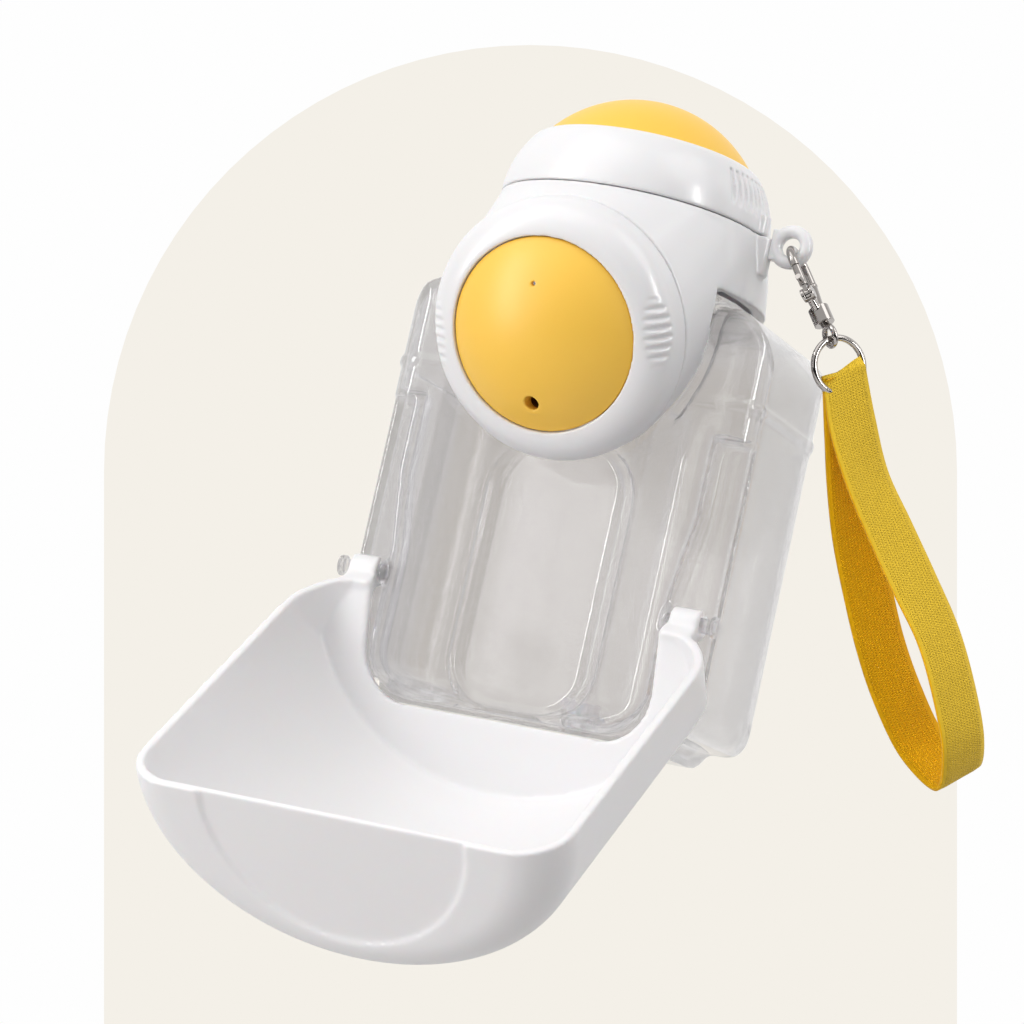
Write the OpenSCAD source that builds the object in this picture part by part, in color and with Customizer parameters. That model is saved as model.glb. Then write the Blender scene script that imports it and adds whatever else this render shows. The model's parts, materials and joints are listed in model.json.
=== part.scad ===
// Dog travel water bottle: clear bottle, pump head with a round push button,
// snack cup under a domed lid, fold-up drinking bowl and a clip-on wrist strap.
// Millimetres. +Z is up along the bottle, -Y is the front (the bowl side),
// +X is the strap side. The origin is the centre of the neck, on the base plane.

/* [Bottle] */
// Width of the bottle across its sides
body_w = 118; // [114:1:122]
// Distance from the neck axis to the back face
body_back = 46; // [44:1:50]
// Distance from the neck axis to the front face
face_front = 20; // [19:0.5:21]
// Height of the shoulder above the base
body_h = 131; // [129:1:134]
// Wall of the clear bottle
wall = 2.2; // [1.8:0.1:2.6]
// Radius of the two rear upright corners
rear_r = 20; // [16:1:24]
// Radius of the shoulder all round
shoulder_r = 18; // [15:1:20]
// Outside radius of the neck
neck_r = 23; // [22.5:0.1:23.1]
// Height of the neck above the shoulder
neck_h = 15; // [13:1:16]
// Half width of the lower front block, between the bowl's arms
block_half = 45.6; // [45:0.2:46]
// Depth of the corner channels that clear the bowl's arms
channel_d = 7; // [6:0.5:7]

/* [Head] */
// Radius of the head at the joint with the lid
head_r = 41; // [40.5:0.5:42]
// Radius of the head at its lower edge
skirt_r = 44.5; // [44:0.5:45]
// Height of the lid joint above the base
seam_z = 156; // [156:0.5:158]
// Wall of the white shells
shell = 2.4; // [2:0.1:2.8]
// Height of the front of the button above the base
disc_z = 108.8; // [107:0.5:110]
// Distance of the middle of the button in front of the neck axis
disc_y = 45; // [44:0.5:46]
// Downward tilt of the button from upright, degrees
disc_tilt = 24.7; // [23:0.5:26]
// Radius of the button
disc_r = 28.4; // [27:0.5:29]
// Rise of the button's dome
disc_rise = 11; // [8:0.5:12]
// Outside radius of the front ring
ring_r = 38.6; // [38:0.2:39]
// Travel of the button
press = 4; // [3:0.5:5]

/* [Lid] */
// Height of the lid ring
lid_h = 19.4; // [18:0.5:21]
// Radius of the yellow dome at its edge
dome_r = 32.1; // [31:0.5:33]
// Rise of the yellow dome
dome_h = 16.5; // [14:0.5:18]

/* [Bowl] */
// Width of the bowl across its rim
bowl_w = 133; // [131:1:136]
// Distance from the hinge to the outside of the front wall
bowl_l = 120.5; // [118:0.5:122]
// Depth of the bowl below its rim
bowl_d = 53; // [50:1:56]
// Wall of the bowl
bowl_wall = 2.8; // [2.4:0.1:3.2]
// Angle of the open rim below level, degrees
bowl_tilt = 41.7; // [40:0.5:43]
// Height of the hinge above the base
hinge_z = 36.7; // [36:0.5:38]
// Distance of the hinge in front of the neck axis
hinge_y = 18.4; // [18:0.2:18.6]
// Radius of the hinge pins
pin_r = 2.2; // [2:0.1:2.4]

/* [Strap] */
// Width of the webbing
web_w = 15; // [14:0.5:16]
// Thickness of the webbing
web_t = 1.6; // [1.4:0.1:1.8]
// Length of the strap loop, hanging from its ring
web_l = 112; // [105:1:125]
// Outside radius of the strap ring
link_r = 9.2; // [9:0.1:9.6]

/* [Fits] */
// Gap between pieces that move past each other
gap = 0.3; // [0.3:0.05:0.4]
// Radial clearance of a pin that turns in its bore
run = 0.06; // [0.04:0.01:0.08]

/* [Hidden] */
$fn = 72;
eps = 0.01;

half_w = body_w / 2;
step_y = -face_front + channel_d;
neck_y = 8;
neck_top = body_h + neck_h;
collar_r = 40.5;
collar_h = 3;
skirt_z = body_h + collar_h + gap;
front_r = 9;
front_top_r = 10;
base_r = 12;
rear_base_r = 18;
plinth_h = 6;
plinth_half = 43;
block_corner = 15;
block_lift = 1.5;
channel_top = 90;
channel_bend = 56;
pocket_y = -15.6;
pocket_r = ring_r + 0.8;
pocket_z = 120;
dish_half = 40;
dish_d = 9.6;
dish_low = 3;
dish_top = 96;
dish_round = 9;
panel_half = 19.4;
panel_low = 5;
panel_top = 84;
panel_y = -10;
panel_rim = 2.2;
bead_z = 100;
bead_h = 2.4;
bead_d = 0.8;
tube_x = 15;
tube_r = 3.1;

outlet_y = -19;
outlet_r = 2.2;
vent_y = 16;
ring_depth = 14;
ring_edge = 0.8;
pump_r = 9;
pump_wall = 1.4;
pump_bottom = -25;
pump_top = -9;
piston_low = -15;
stem_r = 4;
duct_y = -30;
duct_z = neck_top + 5.9;
duct_r = 2.4;

lug_r = 3.4;
deck_z = neck_top + 1.6;
deck_t = 1.6;
lid_top = seam_z + gap + lid_h;
cup_r = 32.4;
cup_wall = 1.6;
cup_floor = seam_z - 1.4;
cup_top = seam_z + 15;
rim_rise = 2;
bowl_front_r = 15;
bowl_rear_r = 22;
barrel_r = 4.6;

loop_x = 51.2;
loop_z = 153.8;
loop_r = 4.7;
loop_rod = 2;
loop_hole = loop_r - loop_rod + 0.15;
clasp_lean = 35.4;
strap_lean = 22;
strap_back = 22;
strap_twist = 45;
swivel_turn = 42;
link_rod = 1;
eye_z = -30.5;
eye_r = 2.9;
eye_rod = 0.9;
link_top = eye_z - eye_r + eye_rod + link_rod + 0.1;

// ---------------------------------------------------------------- helpers

// Rectangle with round corners: r1 at the low-y end and r2 at the high-y end
module round_rect(x0, x1, y0, y1, r1, r2) {
    translate([x0, y0 + r1]) square([x1 - x0, y1 - y0 - r1 - r2]);
    translate([x0 + r1, y0]) square([x1 - x0 - 2 * r1, r1 + eps]);
    translate([x0 + r2, y1 - r2 - eps]) square([x1 - x0 - 2 * r2, r2 + eps]);
    for (x = [x0 + r1, x1 - r1]) translate([x, y0 + r1]) circle(r1);
    for (x = [x0 + r2, x1 - r2]) translate([x, y1 - r2]) circle(r2);
}

// Frame of the push button: +Z forward out of its face, origin at its face
module at_button() {
    translate([0, -disc_y, disc_z]) rotate([90 + disc_tilt, 0, 0]) children();
}

// Copy on the left-hand side as well
module both_sides() {
    children();
    mirror([1, 0, 0]) children();
}

// Frame of the open bowl: origin on the hinge, -Y towards its front, Z off its rim
module at_bowl() {
    translate([0, -hinge_y, hinge_z]) rotate([bowl_tilt, 0, 0]) children();
}

// Frame of the clasp: origin where its hook hangs in the loop, -Z down its length
module at_clasp() {
    translate([loop_x, 0, loop_z]) rotate([0, -clasp_lean, 0]) children();
}

// Frame of the strap: origin at the middle of its ring, -Z down the webbing
module at_strap() {
    at_clasp() translate([0, 0, link_top]) rotate([0, clasp_lean - strap_lean, 0])
        rotate([strap_back, 0, 0]) rotate([0, 0, strap_twist]) translate([0, 0, link_rod - link_r]) children();
}

// ---------------------------------------------------------------- bottle

// Outline, seen from the front, of the part that stands forward of the corner channels
module block_outline(g) {
    low = block_half - g;
    high = half_w - 10 - g;
    round_rect(-low, low, block_lift + g, channel_bend, block_corner - g, 1);
    polygon([[-low, channel_bend - 12], [low, channel_bend - 12], [high, channel_bend + 12],
        [high, 200], [-high, 200], [-high, channel_bend + 12]]);
}

// Room at the front corners for the bowl's arms, cut back by g
module channels(g) {
    rotate([90, 0, 0]) translate([0, 0, -step_y - g]) linear_extrude(face_front) difference() {
        translate([-100, -20]) square([200, 20 + channel_top + g]);
        block_outline(g);
    }
}

// Pocket at the top of the front for the head's hood, open upwards, grown by g
module hood_pocket(g) {
    intersection() {
        translate([-80, pocket_y + g - 100, 0]) cube([160, 100, 300]);
        union() {
            at_button() translate([0, 0, -60]) cylinder(r = pocket_r + g, h = 120);
            translate([-pocket_r - g, pocket_y - 90, pocket_z]) cube([2 * pocket_r + 2 * g, 120, 100]);
        }
    }
}

// Solid of the bottle below its shoulder, shrunk by g on every side
module body_solid(g) {
    difference() {
        intersection() {
            translate([0, 0, -1]) linear_extrude(body_h + 2)
                round_rect(-half_w + g, half_w - g, -face_front + g, body_back - g,
                    front_r - g, rear_r - g);
            rotate([90, 0, 0]) translate([0, 0, -body_back - 1]) linear_extrude(face_front + body_back + 2)
                union() {
                    round_rect(-half_w + g, half_w - g, plinth_h + g, body_h - g, base_r - g, shoulder_r - g);
                    translate([-plinth_half + g, g]) square([2 * plinth_half - 2 * g, plinth_h + base_r]);
                }
            rotate([90, 0, 90]) translate([0, 0, -half_w - 1]) linear_extrude(body_w + 2)
                difference() {
                    translate([-face_front + g, g]) square([body_back + face_front - 2 * g, body_h - 2 * g]);
                    corner_cut(body_back - g, g, rear_base_r - g, 1, 1);
                    corner_cut(body_back - g, body_h - g, shoulder_r - g, 1, -1);
                    corner_cut(-face_front + g, body_h - g, front_top_r - g, -1, -1);
                    corner_cut(-face_front + g, g, 7 - g, -1, 1);
                }
        }
        channels(g);
        hood_pocket(g);
        front_dish(g);
    }
}

// Hollow of the front between the corner channels, an upright round face, grown by g
module front_dish(g) {
    r = (dish_half * dish_half + dish_d * dish_d) / (2 * dish_d) + g;
    edge = dish_round + g;
    translate([0, dish_d - face_front - r + g, dish_low - g]) rotate_extrude($fn = 180) {
        translate([0, edge]) square([r, dish_top + 2 * g - dish_low - edge]);
        square([r - edge, edge + eps]);
        translate([r - edge, edge]) circle(edge);
    }
}

// What rounding of radius r takes off a corner at (x, y); the solid lies at -u, +v of it
module corner_cut(x, y, r, u, v) {
    translate([x - u * r, y + v * r]) mirror([u > 0 ? 0 : 1, 0]) mirror([0, v > 0 ? 0 : 1]) difference() {
        translate([0, -r - 1]) square([r + 1, r + 1]);
        circle(r);
    }
}

// Stepped recess of the front window, grown by g
module window_recess(g) {
    for (k = [0, 1]) {
        w = panel_half + g + k * panel_rim;
        r = 13 + g + k * panel_rim;
        rotate([90, 0, 0]) translate([0, 0, -panel_y - g + k]) linear_extrude(30)
            round_rect(-w, w, panel_low - g - k * panel_rim, panel_top + g, r, r);
    }
}

module bottle() {
    color([0.86, 0.88, 0.88, 0.35]) difference() {
        union() {
            body_solid(0);
            difference() {
                union() {
                    translate([0, 0, body_h - 4]) cylinder(r = collar_r, h = 4 + collar_h);
                    translate([0, neck_y, body_h - 4]) cylinder(r = neck_r, h = 4 + neck_h);
                    translate([0, neck_y, neck_top - 6]) cylinder(r = neck_r + 0.8, h = 1.6);
                    // bead round the body at the foot of the shoulder
                    translate([0, 0, bead_z]) linear_extrude(bead_h) round_rect(-half_w - bead_d, half_w + bead_d,
                        -face_front - bead_d, body_back + bead_d, front_r + bead_d, rear_r + bead_d);
                }
                hood_pocket(0);
            }
            both_sides() translate([block_half - 1, -hinge_y, hinge_z])
                rotate([0, 90, 0]) cylinder(r = pin_r + 1.6, h = 2.4);
        }
        window_recess(0);
        difference() {
            body_solid(wall);
            window_recess(wall);
        }
        translate([0, neck_y, body_h - wall - 2]) cylinder(r = neck_r - wall, h = neck_h + wall + 3);
        both_sides() translate([block_half - 0.2, -hinge_y, hinge_z])
            rotate([0, 90, 0]) cylinder(r = pin_r + 0.02, h = 6);
    }
}

module neck_seal() {
    color("white") translate([0, neck_y, neck_top]) difference() {
        cylinder(r = neck_r, h = deck_z - neck_top);
        translate([0, 0, -1]) cylinder(r = neck_r - wall, h = 4);
    }
}

// ---------------------------------------------------------------- head

// Hood between the skirt and the front ring, shrunk by g
module hood_solid(g) {
    hull() {
        translate([0, 0, skirt_z + 2]) cylinder(r = skirt_r - 1 - g, h = 6);
        translate([0, 0, seam_z - 4]) cylinder(r = head_r - g, h = 3 - g);
        at_button() translate([0, 0, -ring_depth - 2]) cylinder(r = ring_r - g, h = 2);
    }
}

module head_shell() {
    back = pocket_y - 0.8;
    color("white") difference() {
        union() {
            translate([0, 0, skirt_z]) cylinder(r1 = skirt_r, r2 = skirt_r - 1.2, h = 10);
            translate([0, 0, skirt_z + 10]) cylinder(r1 = skirt_r - 1.2, r2 = head_r, h = seam_z - skirt_z - 10);
            difference() {
                hood_solid(0);
                translate([-60, back, 0]) cube([120, 90, skirt_z + eps]);
            }
            both_sides() translate([head_r + 1, 0, seam_z - 12]) cylinder(r = lug_r, h = 11.6);
        }
        translate([0, 0, skirt_z - 1]) cylinder(r = head_r - shell, h = seam_z - skirt_z + 2);
        hood_solid(shell);
        both_sides() translate([ring_r + 0.3, -face_front - bead_d - gap, 0]) cube([20, 12, skirt_z + eps]);
        at_button() translate([0, 0, -ring_depth - 0.3]) cylinder(r = 70, h = 60);
    }
}

// Loop on the right-hand lug that the clasp hangs in
module strap_loop() {
    color("white") difference() {
        union() {
            translate([loop_x, 0, loop_z]) rotate([90, 0, 0]) rotate_extrude() translate([loop_r, 0]) circle(loop_rod);
            translate([head_r + 2, -1.7, loop_z - 4.6]) cube([loop_x - loop_r - head_r - 1.4, 3.4, 9.2]);
        }
        translate([loop_x, 3, loop_z]) rotate([90, 0, 0]) cylinder(r = loop_hole, h = 6);
        translate([head_r + 1, 0, seam_z - 14]) cylinder(r = lug_r + 0.02, h = 30);
    }
}

// Plate that closes the head above the neck, with a collar round the neck
module head_deck() {
    color([0.93, 0.93, 0.93]) difference() {
        union() {
            translate([0, 0, deck_z]) cylinder(r = head_r - shell - 0.02, h = deck_t);
            translate([0, neck_y, neck_top - 8]) cylinder(r = neck_r + 3, h = 8 + deck_z - neck_top + eps);
        }
        translate([0, neck_y, neck_top - 9]) cylinder(r = neck_r + 0.8 + gap, h = 9 + deck_z - neck_top);
        translate([tube_x, neck_y, deck_z - 1]) cylinder(r = tube_r + 0.02, h = 4);
        translate([0, duct_y, deck_z - 1]) cylinder(r = duct_r + 0.02, h = 4);
    }
}

module food_cup() {
    color([0.95, 0.95, 0.95]) difference() {
        translate([0, 0, cup_floor]) union() {
            cylinder(r = head_r - shell - 0.02, h = seam_z - cup_floor);
            cylinder(r = cup_r, h = cup_top - cup_floor);
        }
        translate([0, 0, cup_floor + cup_wall]) cylinder(r = cup_r - cup_wall, h = 40);
    }
}

// ---------------------------------------------------------------- pump

module pump_cylinder() {
    color([0.9, 0.92, 0.94]) difference() {
        union() {
            at_button() translate([0, 0, pump_bottom]) cylinder(r = pump_r, h = pump_top - pump_bottom);
            translate([0, duct_y, disc_z + 14]) cylinder(r = duct_r + 1.6, h = 10);
        }
        at_button() translate([0, 0, pump_bottom + 1.6]) cylinder(r = pump_r - pump_wall, h = 40);
        translate([0, duct_y, disc_z + 17.8]) cylinder(r = duct_r + 0.02, h = 12);
        translate([0, duct_y, disc_z + 6]) cylinder(r = 1.2, h = 14);
    }
}

module pump_piston() {
    color("white") at_button() difference() {
        union() {
            translate([0, 0, piston_low]) cylinder(r = stem_r, h = 5.9 - piston_low);
            for (z = [piston_low, piston_low + 3.2]) translate([0, 0, z])
                cylinder(r = pump_r - pump_wall - 0.5, h = 1.2);
        }
        translate([0, 0, piston_low - 1]) cylinder(r = 2, h = 14.6);
        translate([0, 0, -2.4]) rotate([90, 0, 0]) cylinder(r = 1.2, h = 6);
    }
}

module piston_seal() {
    color([0.25, 0.25, 0.26]) at_button() translate([0, 0, piston_low + 1.22]) difference() {
        cylinder(r = pump_r - pump_wall - run, h = 1.96);
        translate([0, 0, -1]) cylinder(r = stem_r + 0.02, h = 4);
    }
}

module pump_spring() {
    turns = 4;
    steps = 16;
    wire = 0.8;
    rise = piston_low - pump_bottom - 1.6 - wire - 0.1;
    color("silver") at_button() translate([0, 0, pump_bottom + 1.6 + wire / 2 + 0.05])
        for (i = [0 : turns * steps - 1]) hull() for (k = [i, i + 1])
            rotate([0, 0, k * 360 / steps]) translate([5.2, 0, k * rise / turns / steps])
                cube(wire, center = true);
}

// Passage inside the button from the piston's stem to the hole near its edge
module outlet_tube() {
    color([0.9, 0.9, 0.92]) at_button() difference() {
        union() {
            translate([0, outlet_y, -4.5]) cylinder(r = outlet_r + 1, h = 5.9);
            translate([0, -stem_r - 0.4, -2.4]) rotate([90, 0, 0]) cylinder(r = 2, h = -outlet_y - stem_r - 0.4);
        }
        translate([0, outlet_y, -3.4]) cylinder(r = outlet_r, h = 9);
        translate([0, 0, -2.4]) rotate([90, 0, 0]) cylinder(r = 1.2, h = -outlet_y);
        translate([0, 0, -9]) cylinder(r = stem_r + 0.02, h = 12);
    }
}

// Valve ball that rests on the floor of the pump
module inlet_ball() {
    color("silver") at_button() translate([0, 0, pump_bottom + 1.6 + 1.6]) sphere(r = 1.6, $fn = 32);
}

// Moulded duct from the dip tube, under the snack cup, to the pump
module inlet_duct() {
    run_x = -tube_x;
    run_y = duct_y - neck_y;
    run_l = norm([run_x, run_y]);
    run_a = atan2(run_y, run_x);
    color([0.9, 0.92, 0.94]) difference() {
        union() {
            translate([tube_x, neck_y, neck_top - 12]) cylinder(r = tube_r, h = duct_z - neck_top + 12 + 2.6);
            translate([0, duct_y, disc_z + 18]) cylinder(r = duct_r, h = duct_z - disc_z - 18 + 2.6);
            translate([tube_x, neck_y, duct_z]) rotate([0, 90, run_a]) cylinder(r = duct_r - 0.2, h = run_l);
        }
        translate([tube_x, neck_y, neck_top - 13]) cylinder(r = 1.8, h = duct_z - neck_top + 13);
        translate([0, duct_y, disc_z + 17]) cylinder(r = 1.4, h = duct_z - disc_z - 17);
        translate([tube_x, neck_y, duct_z]) rotate([0, 90, run_a]) cylinder(r = 1.2, h = run_l);
    }
}

module dip_tube() {
    color([0.92, 0.94, 0.95]) translate([tube_x, neck_y, wall + 4.4]) difference() {
        cylinder(r = tube_r, h = neck_top - 12.1 - wall - 4.4);
        translate([0, 0, -1]) cylinder(r = 2.1, h = neck_top);
    }
}

// Slotted foot on the dip tube
module tube_foot() {
    color("white") translate([tube_x, neck_y, wall + 0.4]) difference() {
        cylinder(r = 5, h = 8);
        translate([0, 0, 4]) cylinder(r = tube_r + 0.02, h = 5);
        translate([0, 0, 1]) cylinder(r = 2.1, h = 5);
        for (a = [0, 60, 120]) rotate([0, 0, a]) translate([-6, -0.9, -1]) cube([12, 1.8, 3.4]);
    }
}

// ---------------------------------------------------------------- front ring and button

module front_ring() {
    groove_n = 10;
    round_r = ring_r - disc_r - gap;
    color("white") at_button() difference() {
        rotate_extrude() difference() {
            union() {
                translate([ring_r - round_r, -ring_depth]) square([round_r, ring_depth - round_r + ring_edge]);
                intersection() {
                    translate([ring_r - round_r, ring_edge - round_r]) circle(round_r);
                    translate([ring_r - round_r, -ring_depth]) square([round_r, 30]);
                }
            }
            translate([ring_r - round_r - 1, -ring_depth - 1]) square([round_r - 1.4, ring_depth - 5]);
        }
        for (s = [0, 1]) rotate([0, 0, s * 180 + 7]) for (i = [0 : groove_n - 1])
            translate([ring_r - round_r, (i - groove_n / 2 + 0.5) * 2.8, ring_edge - round_r])
                rotate([0, 45, 0]) translate([-6, 0, round_r - 0.5]) rotate([0, 90, 0])
                    cylinder(r = 0.8, h = 12, $fn = 16);
    }
}

module push_button() {
    cap_r = (disc_r * disc_r + disc_rise * disc_rise) / (2 * disc_rise);
    color([0.96, 0.77, 0.33]) at_button() difference() {
        union() {
            difference() {
                intersection() {
                    union() {
                        translate([0, 0, disc_rise - cap_r]) sphere(r = cap_r, $fn = 144);
                        translate([0, 0, -9]) cylinder(r = disc_r, h = 9);
                    }
                    translate([0, 0, -9]) cylinder(r = disc_r, h = disc_rise + 10);
                }
                translate([0, 0, disc_rise - cap_r]) sphere(r = cap_r - 2, $fn = 144);
                translate([0, 0, -10]) cylinder(r = disc_r - 1.6, h = 10);
            }
            translate([0, 0, 1]) cylinder(r = 6, h = disc_rise - 2.5);
            translate([0, outlet_y, 1.5]) cylinder(r = outlet_r + 1.4, h = 3.4);
        }
        translate([0, 0, 0]) cylinder(r = stem_r + 0.02, h = 6);
        translate([0, outlet_y, -4]) cylinder(r = outlet_r, h = disc_rise + 6);
        translate([0, vent_y, -4]) cylinder(r = 0.7, h = disc_rise + 6);
    }
}

// ---------------------------------------------------------------- lid

module lid_seal() {
    color([0.88, 0.88, 0.88]) translate([0, 0, cup_top + 0.05]) difference() {
        cylinder(r = cup_r + 0.6, h = 1.6);
        translate([0, 0, -1]) cylinder(r = cup_r - cup_wall, h = 5);
    }
}

// Half section of the lid ring from its joint to the dome's seat, shrunk by g
module lid_outline(g) {
    arc_r = 30;
    top_r = 4;
    arc_x = head_r - arc_r;
    top_y = lid_h - top_r;
    top_x = arc_x + sqrt(pow(arc_r - top_r, 2) - top_y * top_y);
    intersection() {
        translate([arc_x, 0]) circle(arc_r - g);
        polygon([[0, 0], [head_r + 9, 0],
            [head_r + 9, (head_r + 9 - arc_x) * top_y / (top_x - arc_x)], [arc_x, 0]]);
    }
    translate([top_x, top_y]) circle(top_r - g);
    square([top_x, lid_h - g]);
}

module lid_ring() {
    seat_r = dome_r - 1.6;
    color("white") difference() {
        translate([0, 0, seam_z + gap]) {
            rotate_extrude() difference() {
                lid_outline(0);
                lid_outline(shell);
                translate([-1, -1]) square([seat_r + 1, 40]);
            }
            both_sides() translate([head_r - 1, 0, 0]) cylinder(r = lug_r - 0.4, h = 6);
        }
        translate([0, 0, seam_z - 1]) cylinder(r = head_r - shell, h = 8);
        for (s = [0, 1]) rotate([0, 0, s * 180 - 7]) for (i = [-4 : 4]) rotate([0, 0, i * 4.2])
            translate([head_r - 30, 0, seam_z + gap]) rotate([0, 68, 0]) translate([-5, 0, 29.5])
                rotate([0, 90, 0]) cylinder(r = 0.8, h = 12, $fn = 16);
    }
}

module lid_dome() {
    cap_r = (dome_r * dome_r + dome_h * dome_h) / (2 * dome_h);
    color([0.96, 0.77, 0.33]) difference() {
        union() {
            intersection() {
                translate([0, 0, lid_top + dome_h - cap_r]) sphere(r = cap_r, $fn = 144);
                translate([0, 0, lid_top]) cylinder(r = dome_r + 1, h = dome_h + 1);
            }
            translate([0, 0, lid_top - 2.2]) cylinder(r = dome_r - 1.62, h = 2.3);
        }
        intersection() {
            translate([0, 0, lid_top + dome_h - cap_r]) sphere(r = cap_r - 2, $fn = 144);
            translate([0, 0, lid_top - 3]) cylinder(r = dome_r - 3.4, h = dome_h + 4);
        }
        translate([0, 0, lid_top - 3]) cylinder(r = dome_r - 3.4, h = 3.2);
    }
}

// ---------------------------------------------------------------- bowl

// Solid of the bowl, shrunk by g, with its rim raised by up
module bowl_solid(g, up) {
    half = bowl_w / 2 - g;
    front = bowl_l - g;
    r = bowl_front_r - g;
    intersection() {
        union() {
            scale([1, 1, (bowl_d - rim_rise - g) / half]) rotate([90, 0, 0]) rotate_extrude($fn = 144) {
                square([half, front - r]);
                square([half - r, front]);
                translate([half - r, front - r]) circle(r);
            }
            linear_extrude(rim_rise + up) round_rect(-half, half, -front, -5 - g, r, bowl_rear_r - g);
        }
        translate([0, 0, -bowl_d - 1]) linear_extrude(bowl_d + rim_rise + up + 1)
            round_rect(-half, half, -front, -5 - g, r, bowl_rear_r - g);
        rotate([90, 0, 90]) translate([0, 0, -half - 1]) linear_extrude(2 * half + 2) polygon([
            [-5 - g, rim_rise + up], [-5 - g * 1.1, rim_rise], [-32 - g * 1.1, -bowl_d + rim_rise],
            [-front - 1, -bowl_d + rim_rise], [-front - 1, rim_rise + up]
        ]);
    }
}

// Clip that snaps round a hinge pin, at its place on the bowl's rear corner
module hinge_clip(s) {
    x = s > 0 ? 47.4 : -56.6;
    translate([x, 0, 0]) rotate([90, 0, 90]) difference() {
        union() {
            cylinder(r = barrel_r, h = 9.2);
            translate([-9.4, -3.4]) cube([9, 5.2, 9.2]);
        }
        translate([0, 0, -1]) cylinder(r = pin_r + run, h = 12);
        rotate([0, 0, 38]) translate([0, -1.95, -1]) cube([8, 3.9, 12]);
    }
}

module bowl() {
    color("white") difference() {
        at_bowl() {
            difference() {
                bowl_solid(0, 0);
                bowl_solid(bowl_wall, 1);
                // shallow half-round recess in the front wall
                translate([0, -bowl_l - 1, rim_rise]) rotate([-90, 0, 0]) cylinder(r = 41, h = 1.9);
            }
            hinge_clip(1);
            hinge_clip(-1);
        }
        // notch that clears the lower block of the bottle
        rotate([90, 0, 0]) translate([0, 0, -40]) linear_extrude(90)
            round_rect(-block_half - 0.7, block_half + 0.7, -0.7, 80, block_corner + 0.7, 1);
        translate([0, 0, -0.7]) linear_extrude(60) round_rect(-half_w - 0.7, half_w + 0.7, step_y - 0.7, 60, 9, 1);
    }
}

module hinge_pin(s) {
    color([0.86, 0.88, 0.88, 0.35]) translate([s * block_half, -hinge_y, hinge_z]) rotate([0, s * 90, 0]) {
        cylinder(r = pin_r, h = 14.2);
        translate([0, 0, 14]) cylinder(r = pin_r + 0.9, h = 1.2);
    }
}

module hinge_pin_right() { hinge_pin(1); }
module hinge_pin_left() { hinge_pin(-1); }

// ---------------------------------------------------------------- clasp and strap

rod = 1.35;
arm_y = 5.6;
hook_z = rod + gap - loop_hole;
tip_z = -8;
gate_z = -16.4;

// Round bar between two points of the plane of Y and the clasp's length
module bar(y0, z0, y1, z1, r) {
    translate([0, y0, z0]) rotate([-atan2(y1 - y0, z1 - z0), 0, 0]) cylinder(r = r, h = norm([y1 - y0, z1 - z0]));
}

// Hook with its fixed arms and the barrel that holds the swivel
module clasp_hook() {
    color("silver") at_clasp() difference() {
        union() {
            translate([0, 0, hook_z - arm_y]) rotate([90, 0, 90])
                rotate_extrude(angle = 180) translate([arm_y, 0]) circle(rod);
            bar(arm_y, hook_z - arm_y, arm_y, -12, rod);
            bar(-arm_y, hook_z - arm_y, -arm_y, tip_z, rod);
            translate([0, arm_y, -12]) sphere(r = rod + 0.15, $fn = 32);
            bar(arm_y, -12, 1.4, -22.8, rod);
            bar(-arm_y + 0.6, gate_z - 1.2, -1.3, -22.8, rod);
            translate([0, -arm_y + 0.6, gate_z - 1.2]) rotate([0, 90, 0]) cylinder(r = 2.1, h = 3.6, center = true);
            translate([0, 0, -26.4]) cylinder(r = 3.1, h = 5.4);
        }
        translate([0, 0, -27]) cylinder(r = 1.3, h = 3);
        translate([0, 0, -24.8]) cylinder(r = 2.2, h = 2);
        translate([-0.8, -arm_y - 4, gate_z - 2.8]) cube([1.6, 6.2, 8]);
        translate([-3, -arm_y + 0.6, gate_z - 1.2]) rotate([0, 90, 0]) cylinder(r = 0.8, h = 6);
    }
}

// Gate that closes the hook, with its thumb lever
module clasp_gate() {
    color("silver") at_clasp() difference() {
        union() {
            bar(-arm_y, tip_z - gap, -arm_y, gate_z + 1.6, rod - 0.15);
            translate([0, -arm_y + 0.6, gate_z - 1.2]) rotate([0, 90, 0]) cylinder(r = 1.6, h = 1.2, center = true);
            translate([-0.6, -arm_y - 0.8, gate_z - 1]) cube([1.2, 1.6, 4]);
            bar(-arm_y, gate_z + 2.4, -arm_y - 3.4, gate_z + 3.6, 0.9);
        }
        translate([-3, -arm_y + 0.6, gate_z - 1.2]) rotate([0, 90, 0]) cylinder(r = 0.8 + run, h = 6);
    }
}

module clasp_pin() {
    color("silver") at_clasp() translate([-1.8, -arm_y + 0.6, gate_z - 1.2]) rotate([0, 90, 0])
        cylinder(r = 0.8, h = 3.6);
}

// Swivel stem with the eye that carries the strap ring
module clasp_swivel() {
    color("silver") at_clasp() rotate([0, 0, swivel_turn]) {
        translate([0, 0, -24.6]) cylinder(r = 2, h = 1.6);
        translate([0, 0, -28]) cylinder(r = 1.3 - run, h = 4);
        translate([0, 0, eye_z]) rotate([0, 90, 0]) rotate_extrude() translate([eye_r, 0]) circle(eye_rod);
    }
}

module strap_ring() {
    color("silver") at_strap() rotate([90, 0, 0]) difference() {
        rotate_extrude() translate([link_r - link_rod, 0]) circle(link_rod);
        translate([0, 0, -2]) cylinder(r = link_r - 2 * link_rod + 0.1, h = 4);
    }
}

// Outline round a small circle and a larger one, l below it
module drop_shape(r, big, l) {
    a = asin((big - r) / l);
    circle(r);
    translate([0, -l]) circle(big);
    polygon([[r * cos(a), r * sin(a)], [-r * cos(a), r * sin(a)],
        [-big * cos(a), big * sin(a) - l], [big * cos(a), big * sin(a) - l]]);
}

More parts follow.
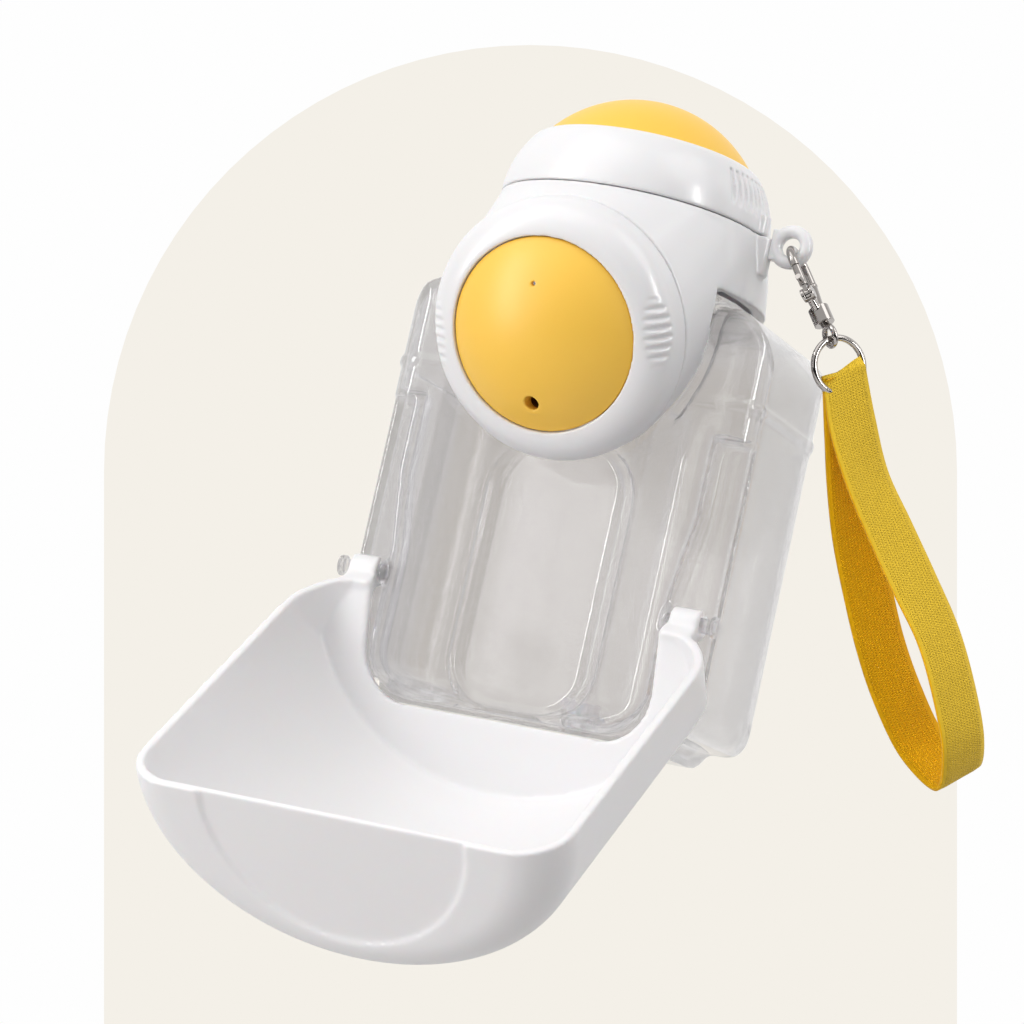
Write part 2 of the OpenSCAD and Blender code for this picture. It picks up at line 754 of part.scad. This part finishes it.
// Closed loop of webbing that hangs in the strap ring
module strap_webbing() {
    top_r = link_rod + gap;
    end_r = 13;
    top_w = 13.4;
    fold_z = -4.1;
    color([0.87, 0.73, 0.2]) at_strap() translate([0, 0, fold_z]) intersection() {
        translate([-web_w / 2, 0, 0]) rotate([90, 0, 90]) linear_extrude(web_w) difference() {
            drop_shape(top_r + web_t, end_r, web_l);
            drop_shape(top_r, end_r - web_t, web_l);
        }
        // a little narrower where it passes through the ring
        rotate([90, 0, 0]) translate([0, 0, -30]) linear_extrude(60) polygon([
            [-top_w / 2, 9], [top_w / 2, 9], [top_w / 2, -3], [web_w / 2, -17], [web_w / 2, -web_l - 20],
            [-web_w / 2, -web_l - 20], [-web_w / 2, -17], [-top_w / 2, -3]]);
    }
}

bottle();
neck_seal();
head_shell();
strap_loop();
food_cup();
head_deck();
pump_cylinder();
pump_piston();
pump_spring();
piston_seal();
outlet_tube();
inlet_ball();
inlet_duct();
dip_tube();
tube_foot();
front_ring();
push_button();
lid_seal();
lid_ring();
lid_dome();
bowl();
hinge_pin_right();
hinge_pin_left();
clasp_hook();
clasp_gate();
clasp_pin();
clasp_swivel();
strap_ring();
strap_webbing();
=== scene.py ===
"""Looks of the dog travel water bottle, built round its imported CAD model."""

import json
import math

import bmesh
import bpy
from mathutils import Matrix, Vector


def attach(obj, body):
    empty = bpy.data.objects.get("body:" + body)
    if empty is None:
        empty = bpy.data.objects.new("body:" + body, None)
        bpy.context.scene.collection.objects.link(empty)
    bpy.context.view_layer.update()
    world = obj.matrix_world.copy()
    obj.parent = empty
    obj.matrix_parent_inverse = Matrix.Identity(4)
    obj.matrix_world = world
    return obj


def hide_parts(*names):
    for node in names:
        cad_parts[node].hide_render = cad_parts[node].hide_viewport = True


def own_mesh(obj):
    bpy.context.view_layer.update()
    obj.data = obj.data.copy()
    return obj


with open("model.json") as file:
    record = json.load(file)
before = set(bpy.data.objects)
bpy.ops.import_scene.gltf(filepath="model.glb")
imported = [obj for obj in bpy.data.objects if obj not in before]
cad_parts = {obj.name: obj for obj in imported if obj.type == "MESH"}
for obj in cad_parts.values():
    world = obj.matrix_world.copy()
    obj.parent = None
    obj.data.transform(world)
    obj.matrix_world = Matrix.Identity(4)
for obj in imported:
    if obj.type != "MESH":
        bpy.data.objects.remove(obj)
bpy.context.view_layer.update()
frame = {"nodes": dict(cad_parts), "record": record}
NODES = frame["nodes"]
MM = 0.001

# ---------------------------------------------------------------- camera

CAM_POS = Vector((0.4422, -0.9710, -0.0819))
CAM_RIGHT = Vector((0.8941, 0.3920, 0.2166))
CAM_UP = Vector((-0.1415, -0.2117, 0.9670))
LENS = 127.7
SENSOR = 36  # millimetres across the frame
FRAME = 1024  # pixels across the frame


def make_camera():
    right = CAM_RIGHT.normalized()
    up = (CAM_UP - right * CAM_UP.dot(right)).normalized()
    back = right.cross(up)
    data = bpy.data.cameras.new("camera")
    data.lens = LENS
    data.sensor_width = SENSOR
    data.sensor_fit = "HORIZONTAL"
    data.clip_start = 0.01
    data.clip_end = 20
    cam = bpy.data.objects.new("camera", data)
    turn = Matrix((right, up, back)).transposed().to_4x4()
    cam.matrix_world = Matrix.Translation(CAM_POS) @ turn
    bpy.context.scene.collection.objects.link(cam)
    bpy.context.scene.camera = cam
    return right, up, back


RIGHT, UP, BACK = make_camera()
bpy.context.scene.view_settings.view_transform = "Standard"


# ---------------------------------------------------------------- material helpers

NOISE_LOW, NOISE_HIGH = 0.35, 0.65  # most of a noise texture lies between these


def linear(rgb):
    """sRGB 0..255 to linear."""
    out = []
    for c in rgb:
        c = c / 255
        out.append(c / 12.92 if c <= 0.04045 else ((c + 0.055) / 1.055) ** 2.4)
    return (*out, 1)


def put(node, **sockets):
    """Set a node's own sockets; an underscore stands for the space in a socket's name."""
    for key, value in sockets.items():
        node.inputs[key.replace("_", " ")].default_value = value


def add(mat, kind, **sockets):
    node = mat.node_tree.nodes.new(kind)
    put(node, **sockets)
    return node


def link(mat, a, b):
    mat.node_tree.links.new(a, b)


def show(mat, shader):
    link(mat, shader, mat.node_tree.nodes["Material Output"].inputs[0])


def bare_material(name):
    mat = bpy.data.materials.new(name)
    mat.use_nodes = True
    mat.node_tree.nodes.clear()
    add(mat, "ShaderNodeOutputMaterial")
    return mat


def new_material(name):
    mat = bare_material(name)
    bsdf = add(mat, "ShaderNodeBsdfPrincipled")
    show(mat, bsdf.outputs[0])
    return mat, bsdf


def mix_shader(mat, share, first, second):
    """The first shader, and the second for that share, which is a number or a socket."""
    mix = add(mat, "ShaderNodeMixShader")
    if isinstance(share, float):
        mix.inputs[0].default_value = share
    else:
        link(mat, share, mix.inputs[0])
    link(mat, first, mix.inputs[1])
    link(mat, second, mix.inputs[2])
    return mix.outputs[0]


def mix_colour(mat, share, first, second):
    mix = mat.node_tree.nodes.new("ShaderNodeMix")
    mix.data_type = "RGBA"
    put(mix, A=first, B=second)
    link(mat, share, mix.inputs["Factor"])
    return mix.outputs["Result"]


def math_node(mat, kind, a, b=None):
    node = mat.node_tree.nodes.new("ShaderNodeMath")
    node.operation = kind
    for socket, value in zip(node.inputs, (a, b)):
        if value is None:
            continue
        if isinstance(value, (int, float)):
            socket.default_value = value
        else:
            link(mat, value, socket)
    return node.outputs[0]


def wave(mat, place, period):
    """Sine of a place in millimetres."""
    return math_node(mat, "SINE", math_node(mat, "MULTIPLY", place, 2 * math.pi / period))


def noise(mat, scale, detail=3.0):
    coords = mat.node_tree.nodes.new("ShaderNodeTexCoord")
    tex = add(mat, "ShaderNodeTexNoise", Scale=scale, Detail=detail, Roughness=0.5)
    link(mat, coords.outputs["Object"], tex.inputs["Vector"])
    return tex.outputs["Fac"]


def spread(mat, fac, low, high):
    """Map a noise value to low..high."""
    ramp = add(mat, "ShaderNodeMapRange", From_Min=NOISE_LOW, From_Max=NOISE_HIGH, To_Min=low, To_Max=high)
    link(mat, fac, ramp.inputs["Value"])
    return ramp.outputs["Result"]


def bump(mat, bsdf, height, strength, distance):
    node = add(mat, "ShaderNodeBump", Strength=strength, Distance=distance)
    link(mat, height, node.inputs["Height"])
    link(mat, node.outputs["Normal"], bsdf.inputs["Normal"])


# ---------------------------------------------------------------- materials

# Each SCALE is that of a noise texture, and each DEPTH a bump's height in metres

TONE_SCALE, TONE_DROP = 18, 0.03
GLOSS_SCALE, GLOSS_SPREAD = 60, 0.01
GRAIN_SCALE, GRAIN_DEPTH = 2600, 0.0004


def plastic(name, rgb, rough, grain=0.02, coat=0.0, sss=0.0):
    """Moulded plastic: faint tone change, uneven gloss and a fine moulded grain."""
    mat, bsdf = new_material(name)
    base = linear(rgb)
    darker = (*[c * (1 - TONE_DROP) for c in base[:3]], 1)
    link(mat, mix_colour(mat, noise(mat, TONE_SCALE), base, darker), bsdf.inputs["Base Color"])
    gloss = spread(mat, noise(mat, GLOSS_SCALE), rough - GLOSS_SPREAD, rough + GLOSS_SPREAD)
    link(mat, gloss, bsdf.inputs["Roughness"])
    bump(mat, bsdf, noise(mat, GRAIN_SCALE, 2), grain, GRAIN_DEPTH)
    put(bsdf, Coat_Weight=coat, Coat_Roughness=0.15)
    if sss:
        put(bsdf, Subsurface_Weight=sss, Subsurface_Scale=0.002)
    return mat


CLEAR_ROUGH, CLEAR_ROUGHER, CLEAR_GLOSS_SCALE = 0.02, 0.04, 30
RIPPLE_SCALE, RIPPLE_STRENGTH, RIPPLE_DEPTH = 45, 0.05, 0.001
STRAIGHT = 0.25  # share of the light that goes straight through a clear wall


def clear_plastic(name, rgb, ior, milk, gloss):
    """Thin clear moulding: a hard clear gloss, and most light goes nearly straight through."""
    mat, bsdf = new_material(name)
    put(bsdf, Base_Color=linear(rgb), Transmission_Weight=1 - milk, IOR=ior)
    put(bsdf, Coat_Weight=gloss, Coat_IOR=1.5, Coat_Roughness=0.03)
    gloss_map = spread(mat, noise(mat, CLEAR_GLOSS_SCALE), CLEAR_ROUGH, CLEAR_ROUGHER)
    link(mat, gloss_map, bsdf.inputs["Roughness"])
    bump(mat, bsdf, noise(mat, RIPPLE_SCALE, 1), RIPPLE_STRENGTH, RIPPLE_DEPTH)
    tint = (*[c ** 0.5 for c in linear(rgb)[:3]], 1)
    through = add(mat, "ShaderNodeBsdfTransparent", Color=tint)
    show(mat, mix_shader(mat, STRAIGHT, bsdf.outputs[0], through.outputs[0]))
    return mat


METAL_GLOSS_SCALE, METAL_SPREAD = 400, 0.06
PLATING_SCALE, PLATING_STRENGTH, PLATING_DEPTH = 900, 0.03, 0.0002


def metal(name, rgb, rough):
    mat, bsdf = new_material(name)
    put(bsdf, Base_Color=linear(rgb), Metallic=1)
    gloss = spread(mat, noise(mat, METAL_GLOSS_SCALE), rough, rough + METAL_SPREAD)
    link(mat, gloss, bsdf.inputs["Roughness"])
    bump(mat, bsdf, noise(mat, PLATING_SCALE, 2), PLATING_STRENGTH, PLATING_DEPTH)
    return mat


# Webbing, in millimetres
WEB_W = 15.0
WEB_T = 1.5
INNER_UV = 100.0  # added to x in the UV map on the loop's inner face, so the shader can give that face its own painted-light colour
RIB_PERIOD, CROSS_PERIOD = 0.8, 1.0
RIB_SLANT = 0.3  # how far a rib runs along the webbing for each millimetre across it
SELVEDGE = 1.1
CROSSED_SHARE, RIB_SHARE = 0.6, 0.3  # of the weave's height
WEAVE_VALLEY_SHADE = 0.86  # painted shade: how dark the weave's valleys are painted, as a share of the colour
WEAVE_STRENGTH, WEAVE_DEPTH = 0.8, 0.0003
FUZZ_SCALE, FUZZ_SHARE = 1900, 0.15


def webbing(name, outer, inner):
    """Close plain weave from two crossed waves, with a flat selvedge along each edge.

    The UV map of the ribbon is in millimetres, x across it and y along it."""
    mat, bsdf = new_material(name)
    uv = mat.node_tree.nodes.new("ShaderNodeUVMap")
    uv.uv_map = "weave"
    parts = mat.node_tree.nodes.new("ShaderNodeSeparateXYZ")
    link(mat, uv.outputs["UV"], parts.inputs[0])
    turned = math_node(mat, "GREATER_THAN", parts.outputs[0], INNER_UV / 2)
    shift = math_node(mat, "MULTIPLY", turned, INNER_UV)
    across = math_node(mat, "SUBTRACT", parts.outputs[0], shift)

    warp = math_node(mat, "ADD", parts.outputs[1], math_node(mat, "MULTIPLY", across, RIB_SLANT))
    rib = wave(mat, warp, RIB_PERIOD)
    crossed = math_node(mat, "MULTIPLY", rib, wave(mat, across, CROSS_PERIOD))
    crossed = math_node(mat, "MULTIPLY", crossed, CROSSED_SHARE)
    cell = math_node(mat, "ADD", crossed, math_node(mat, "MULTIPLY", rib, RIB_SHARE))
    off_middle = math_node(mat, "ABSOLUTE", math_node(mat, "SUBTRACT", across, WEB_W / 2))
    edge = math_node(mat, "GREATER_THAN", off_middle, WEB_W / 2 - SELVEDGE)
    height = math_node(mat, "MULTIPLY", cell, math_node(mat, "SUBTRACT", 1.0, edge))

    fuzz = noise(mat, FUZZ_SCALE, 2)
    # Painted light: the outer face gets a paler sky-lit yellow, the inner face the deeper orange of light
    # bouncing inside the loop.
    side = mix_colour(mat, turned, linear(outer), linear(inner))
    # Painted shade: the colour darkens from the weave's tops into its valleys.
    fac = math_node(mat, "MULTIPLY", height, 0.5 * (1 - WEAVE_VALLEY_SHADE))
    fac = math_node(mat, "ADD", fac, (1 + WEAVE_VALLEY_SHADE) / 2)
    grain = math_node(mat, "MULTIPLY", math_node(mat, "SUBTRACT", fuzz, 0.5), FUZZ_SHARE)
    tone = mat.node_tree.nodes.new("ShaderNodeVectorMath")
    tone.operation = "SCALE"
    link(mat, side, tone.inputs[0])
    link(mat, math_node(mat, "ADD", fac, grain), tone.inputs["Scale"])
    link(mat, tone.outputs[0], bsdf.inputs["Base Color"])
    put(bsdf, Roughness=0.75, Specular_IOR_Level=0.2, Sheen_Weight=0.1, Sheen_Roughness=0.4)
    total = math_node(mat, "ADD", height, math_node(mat, "MULTIPLY", fuzz, FUZZ_SHARE))
    bump(mat, bsdf, total, WEAVE_STRENGTH, WEAVE_DEPTH)
    return mat


# Painted shade: the outlet tube is painted dark brown, standing for the shade down in the outlet.
OUTLET_PAINTED_SHADE = plastic("outlet_tube_painted_shade", (104, 62, 14), 0.6)
# Outer face painted paler as if lit by the sky, inner face painted deeper orange as if lit by light
# bouncing inside the loop: painted light.
WEAVE = webbing("webbing_weave", (250, 208, 56), (255, 192, 0))

# Look of each material slot in the record
LOOK = {
    "clear": clear_plastic("clear_plastic", (227, 226, 227), ior=1.2, milk=0.04, gloss=0.9),
    "white": plastic("white_plastic", (231, 230, 231), 0.3, coat=0.3, sss=0.1),
    "bowl_white": plastic("bowl_plastic", (236, 235, 236), 0.42, sss=0.1),
    "yellow": plastic("yellow_plastic", (250, 199, 74), 0.42, sss=0.05),
    "natural": clear_plastic("natural_plastic", (252, 252, 252), ior=1.04, milk=0.0, gloss=0.0),
    "seal": plastic("seal_rubber", (214, 214, 214), 0.7, grain=0.05),
    "seal_dark": plastic("dark_rubber", (60, 60, 62), 0.75, grain=0.05),
    "steel": metal("steel_wire", (190, 190, 194), 0.25),
    "chrome": metal("chrome_plate", (172, 167, 163), 0.05),
    "webbing": WEAVE,
}


def dress_nodes():
    for row in frame["record"]["subparts"]:
        mesh = NODES[row["node"]].data
        mesh.materials.clear()
        # The outlet tube takes the dark brown of painted shade in place of its slot's look.
        mesh.materials.append(OUTLET_PAINTED_SHADE if row["node"] == "outlet_tube" else LOOK[row["material_slot"]])
        mesh.polygons.foreach_set("use_smooth", [True] * len(mesh.polygons))


dress_nodes()


# ---------------------------------------------------------------- stage

FAR = 2.1  # metres from the camera to the backdrop
FLOOR_Z = -0.42
FLOOR_REACH = 3
WALL_LOW, WALL_HIGH = -3000, 4000  # pixels, far beyond the frame on every side
ARCH_LEFT, ARCH_RIGHT, ARCH_TOP, ARCH_FOOT = 104, 957, 45, 1500  # pixels
ARCH_STEPS = 48
ARCH_GAP = 0.01  # metres between the arch and the wall behind it


def emission_backdrop(name, rgb, other):
    """Colour as written to the camera and in glass and metal, and a plain tone to the rest.

    It shows from its front only, so that it never stands in the way of a view from behind."""
    mat = bare_material(name)
    glow = add(mat, "ShaderNodeEmission", Color=linear(rgb))
    flat = add(mat, "ShaderNodeBsdfDiffuse", Color=linear(other))
    path = add(mat, "ShaderNodeLightPath")
    seen = math_node(mat, "MAXIMUM", path.outputs["Is Camera Ray"], path.outputs["Is Transmission Ray"])
    seen = math_node(mat, "MAXIMUM", seen, path.outputs["Is Glossy Ray"])
    front = mix_shader(mat, seen, flat.outputs[0], glow.outputs[0])
    side = add(mat, "ShaderNodeNewGeometry")
    bare = add(mat, "ShaderNodeBsdfTransparent")
    show(mat, mix_shader(mat, side.outputs["Backfacing"], front, bare.outputs[0]))
    return mat


def flat_mesh(name, points, mat):
    mesh = bpy.data.meshes.new(name)
    mesh.from_pydata([tuple(p) for p in points], [], [tuple(range(len(points)))])
    obj = bpy.data.objects.new(name, mesh)
    obj.data.materials.append(mat)
    bpy.context.scene.collection.objects.link(obj)
    return obj


def screen_point(px, py, depth):
    """Point in the scene that shows at pixel (px, py), depth metres away."""
    k = SENSOR / LENS / FRAME * depth
    return CAM_POS - BACK * depth + RIGHT * (px - FRAME / 2) * k - UP * (py - FRAME / 2) * k


def make_stage():
    paper = emission_backdrop("paper_white", (254, 254, 254), (235, 235, 235))
    ground = emission_backdrop("floor_white", (254, 254, 254), (196, 194, 193))
    cream = emission_backdrop("paper_cream", (244, 240, 232), (228, 224, 216))
    corners = ((WALL_LOW, WALL_LOW), (WALL_LOW, WALL_HIGH), (WALL_HIGH, WALL_HIGH), (WALL_HIGH, WALL_LOW))
    flat_mesh("backdrop", [screen_point(px, py, FAR) for px, py in corners], paper)

    near = FAR - ARCH_GAP
    mid = (ARCH_LEFT + ARCH_RIGHT) / 2
    r = (ARCH_RIGHT - ARCH_LEFT) / 2
    arch = [screen_point(ARCH_LEFT, ARCH_FOOT, near)]
    for i in range(ARCH_STEPS + 1):
        a = math.pi - math.pi * i / ARCH_STEPS
        arch.append(screen_point(mid + r * math.cos(a), ARCH_TOP + r - r * math.sin(a), near))
    arch.append(screen_point(ARCH_RIGHT, ARCH_FOOT, near))
    flat_mesh("backdrop_arch", arch[::-1], cream)

    signs = ((-1, -1), (1, -1), (1, 1), (-1, 1))
    flat_mesh("floor", [(x * FLOOR_REACH, y * FLOOR_REACH, FLOOR_Z) for x, y in signs], ground)


make_stage()


# ---------------------------------------------------------------- light

MIDDLE = (0.0, -0.02, 0.06)  # what the lamps and cards face
SOFT_LIGHT, SEEN_THROUGH, SEEN = 0.74, 0.9, 1.0  # strength of the world
CARD_TONE = (0.02, 0.02, 0.022, 1)


def facing_middle(pos):
    aim = (Vector(MIDDLE) - Vector(pos)).to_track_quat("-Z", "Y").to_matrix().to_4x4()
    return Matrix.Translation(pos) @ aim


def area_light(name, pos, size, power, gleam=True):
    data = bpy.data.lights.new(name, "AREA")
    data.shape = "RECTANGLE"
    data.size, data.size_y = size
    data.energy = power
    obj = bpy.data.objects.new(name, data)
    obj.matrix_world = facing_middle(pos)
    bpy.context.scene.collection.objects.link(obj)
    obj.visible_camera = False
    obj.visible_glossy = gleam
    return obj


def dark_card(name, pos, size, shades=False):
    """Dark card that shiny surfaces see, but not through the bottle's wall.

    With shades it also keeps soft light off the side of the object that faces it."""
    mat, bsdf = new_material(name)
    put(bsdf, Base_Color=CARD_TONE, Roughness=1)
    path = add(mat, "ShaderNodeLightPath")
    bare = add(mat, "ShaderNodeBsdfTransparent")
    show(mat, mix_shader(mat, path.outputs["Transmission Depth"], bsdf.outputs[0], bare.outputs[0]))
    turn = facing_middle(pos)
    w, h = size[0] / 2, size[1] / 2
    corners = ((-w, -h, 0), (w, -h, 0), (w, h, 0), (-w, h, 0))
    card = flat_mesh(name, [turn @ Vector(corner) for corner in corners], mat)
    card.visible_camera = False
    card.visible_transmission = False
    card.visible_diffuse = shades
    card.visible_shadow = shades


def make_world():
    """Even white light, brighter where the camera or a clear wall looks straight at it."""
    world = bpy.data.worlds.new("world")
    bpy.context.scene.world = world
    world.use_nodes = True
    nodes, links = world.node_tree.nodes, world.node_tree.links
    sky = nodes["Background"]
    sky.inputs["Color"].default_value = (1, 1, 1, 1)
    path = nodes.new("ShaderNodeLightPath")
    through = nodes.new("ShaderNodeMix")
    put(through, A=SOFT_LIGHT, B=SEEN_THROUGH)
    links.new(path.outputs["Is Transmission Ray"], through.inputs["Factor"])
    direct = nodes.new("ShaderNodeMix")
    put(direct, B=SEEN)
    links.new(path.outputs["Is Camera Ray"], direct.inputs["Factor"])
    links.new(through.outputs["Result"], direct.inputs["A"])
    links.new(direct.outputs["Result"], sky.inputs["Strength"])


area_light("key_top", (-0.4, -0.7, 0.9), (0.9, 0.9), 2.9)
area_light("top_right", (0.65, -0.25, 0.95), (0.6, 0.6), 2.0)
area_light("fill_left", (-0.7, -1.1, 0.15), (0.6, 1.0), 6.8, gleam=False)
area_light("back_soft", (0.5, 0.8, 0.9), (0.8, 0.8), 2.0, gleam=False)
area_light("rim_right", (0.9, 0.35, 0.55), (0.3, 0.9), 0.9)
for streak, spot in (("streak_left", (-0.9, -0.9, 0.2)), ("streak_right", (1.1, -0.35, 0.25))):
    area_light(streak, spot, (0.12, 1.1), 8.0).visible_diffuse = False
dark_card("card_right", (0.95, -0.75, 0.1), (0.4, 1.6))
dark_card("card_low", (0.1, -0.9, -0.3), (1.4, 0.4))
dark_card("flag_right", (1.0, 0.0, -0.15), (0.9, 0.7), shades=True)
dark_card("card_front", (0.62, -1.36, 0.0), (0.9, 1.1))
make_world()


# ---------------------------------------------------------------- moulded edges


def soften(name, voxel, rounds):
    """Moulded edges: an even mesh of voxel millimetres over the node's shape, relaxed a little."""
    node = NODES[name]
    even = node.modifiers.new("even", "REMESH")
    even.mode = "VOXEL"
    even.voxel_size = voxel * MM
    even.use_smooth_shade = True
    relax = node.modifiers.new("relax", "SMOOTH")
    relax.factor = 0.5
    relax.iterations = rounds


soften("bottle", 0.7, 5)
soften("head_shell", 0.6, 5)
soften("bowl", 0.7, 6)
soften("lid_ring", 0.5, 3)
soften("front_ring", 0.45, 3)
soften("push_button", 0.35, 3)
soften("strap_loop", 0.25, 4)
soften("clasp_hook", 0.14, 3)
soften("clasp_swivel", 0.16, 4)


# ---------------------------------------------------------------- wrist strap

# Route of the ribbon in millimetres: its middle, and the way its width points there, from
# the fold in the ring down the front strand, round the bottom and back up. The rows come
# from a loop that a scratch script fitted to the picture, smoothed, thinned and rounded.
RIBBON = [
    (73.5, 4, 120, 0.5, 0.4, 0.8),
    (78.5, 8, 105, 0.6, 0.6, 0.4),
    (84.5, 13, 91, 0.5, 0.7, 0.5),
    (93, 18, 77.5, 0.5, 0.6, 0.6),
    (102, 22.5, 64, 0.5, 0.6, 0.6),
    (110.5, 27, 51, 0.5, 0.7, 0.5),
    (117, 31.5, 36.5, 0.5, 0.7, 0.4),
    (121, 38, 22, 0.5, 0.7, 0.5),
    (117, 50, 13.5, 0.5, 0.5, 0.6),
    (104, 52.5, 21.5, 0.6, 0.4, 0.7),
    (96, 45, 34, 0.7, 0.4, 0.6),
    (90, 38, 47, 0.7, 0.5, 0.5),
    (85, 31, 61.5, 0.7, 0.5, 0.5),
    (80.5, 24.5, 76, 0.7, 0.6, 0.4),
    (77, 18.5, 91, 0.6, 0.7, 0.4),
    (74.5, 12, 106, 0.5, 0.8, 0.4),
]
RIBBON_STEPS = 220  # cross-sections round the loop
RIBBON_STRIPS = 6  # faces across one side
FOLD_DROP = 1.6  # how much narrower the webbing is at the fold
FOLD_REACH = 16  # how far from the fold it is back to its full width
EDGE_SHARE = 0.72  # thickness at the edges, as a share of the full one


def spline(rows, t):
    """Closed smooth curve through the rows, t from 0 to len(rows)."""
    i = int(t) % len(rows)
    f = t - int(t)
    a, b, c, d = (Vector(rows[(i + k) % len(rows)]) for k in (-1, 0, 1, 2))
    square = 2 * a - 5 * b + 4 * c - d
    cube = 3 * b - a - 3 * c + d
    return 0.5 * (2 * b + (c - a) * f + square * f * f + cube * f ** 3)


def ribbon_route():
    """Middle and width direction of each cross-section, and the length run up to it."""
    mids, sides = [], []
    for k in range(RIBBON_STEPS):
        t = k * len(RIBBON) / RIBBON_STEPS
        mids.append(spline([row[:3] for row in RIBBON], t))
        sides.append(spline([row[3:] for row in RIBBON], t).normalized())
    run = [0.0]
    for k in range(RIBBON_STEPS):
        run.append(run[-1] + (mids[(k + 1) % RIBBON_STEPS] - mids[k]).length)
    return mids, sides, run


def ribbon_ring(made, mid, side, out, wide):
    """Vertices of one cross-section, each with its place across the webbing."""
    ring = []
    for face in (1, -1):
        for j in range(RIBBON_STRIPS + 1):
            share = j / RIBBON_STRIPS if face > 0 else 1 - j / RIBBON_STRIPS
            lift = WEB_T / 2 * (1 if 0 < j < RIBBON_STRIPS else EDGE_SHARE)
            point = mid + side * (share - 0.5) * wide + out * face * lift
            ring.append((made.verts.new(point * MM), share * WEB_W))
    return ring


def ribbon_faces(made, rings, run):
    layer = made.loops.layers.uv["weave"]
    count = len(rings[0])
    for k, one in enumerate(rings):
        two = rings[(k + 1) % len(rings)]
        ends = (run[k], run[k], run[k + 1], run[k + 1])
        for j in range(count):
            m = (j + 1) % count
            corners = (one[j], one[m], two[m], two[j])
            face = made.faces.new([vert for vert, across in corners])
            face.smooth = True
            shift = INNER_UV if j > RIBBON_STRIPS else 0
            for loop, (vert, across), along in zip(face.loops, corners, ends):
                loop[layer].uv = (across + shift, along)


def make_ribbon():
    mids, sides, run = ribbon_route()
    made = bmesh.new()
    made.loops.layers.uv.new("weave")
    rings = []
    for k in range(RIBBON_STEPS):
        ahead = (mids[(k + 1) % RIBBON_STEPS] - mids[k - 1]).normalized()
        side = (sides[k] - ahead * sides[k].dot(ahead)).normalized()
        from_fold = min(run[k], run[-1] - run[k])
        wide = WEB_W - FOLD_DROP * max(0.0, 1 - from_fold / FOLD_REACH)
        rings.append(ribbon_ring(made, mids[k], side, ahead.cross(side), wide))
    ribbon_faces(made, rings, run)
    made.normal_update()
    mesh = bpy.data.meshes.new("strap_ribbon")
    made.to_mesh(mesh)
    made.free()
    obj = bpy.data.objects.new("strap_ribbon", mesh)
    obj.data.materials.append(WEAVE)
    bpy.context.scene.collection.objects.link(obj)
    return obj, run[-1]


ribbon, ribbon_length = make_ribbon()
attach(ribbon, "wrist_strap")
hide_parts("strap_webbing")


# ---------------------------------------------------------------- return spring


def make_spring():
    """The pump's spring, as packed, as a mesh of its own that moves with the head."""
    node = NODES["pump_spring"]
    spring = bpy.data.objects.new("return_spring", node.data.copy())
    spring.matrix_world = node.matrix_world
    bpy.context.scene.collection.objects.link(spring)
    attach(spring, "head")
    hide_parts("pump_spring")
    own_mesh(spring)


make_spring()
